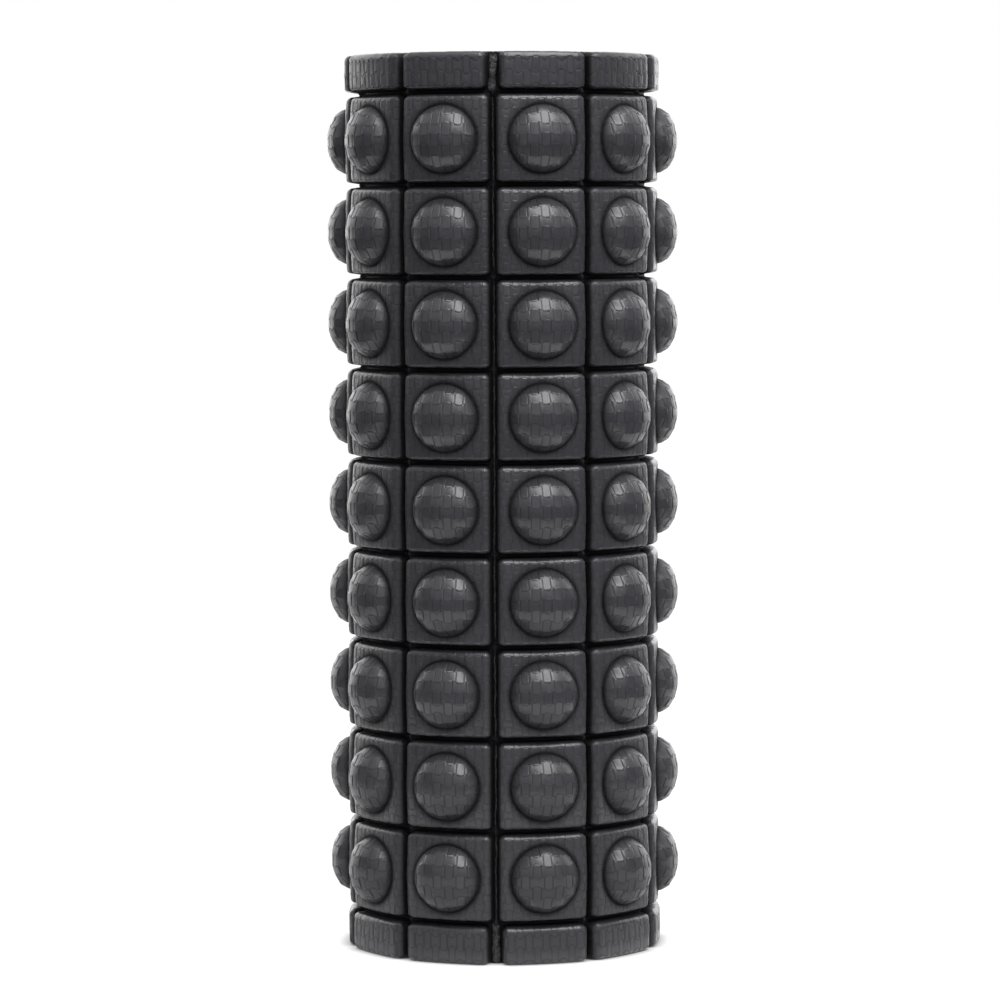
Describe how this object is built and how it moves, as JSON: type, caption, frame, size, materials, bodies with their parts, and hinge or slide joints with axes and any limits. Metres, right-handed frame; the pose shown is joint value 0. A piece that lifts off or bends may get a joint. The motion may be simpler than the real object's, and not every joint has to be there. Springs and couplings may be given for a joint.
{
  "type": "textured foam roller",
  "caption": "Hollow foam roller: a moulded foam mat with a grid of blocks and domed studs, wrapped round a rigid plastic tube and glued along one lengthwise joint.",
  "frame": {"origin": "centre of the bottom end face, on the roller's axis, where it stands on the floor", "axes": "+Z along the roller's axis, up; -Y out through the glued joint of the mat; +X through a stud column"},
  "size_m": [0.1302, 0.1249, 0.33],
  "materials": {
    "tube_plastic": "extruded, satin, with faint die lines along its length",
    "mat_foam": "closed-cell foam with a moulded skin, satin, basket weave relief",
    "joint_adhesive": "cured contact adhesive, rough, slightly glossy"
  },
  "bodies": {
    "root": {"core_tube": "tube_plastic", "foam_mat": "mat_foam", "joint_bead": "joint_adhesive"}
  },
  "joints": []
}
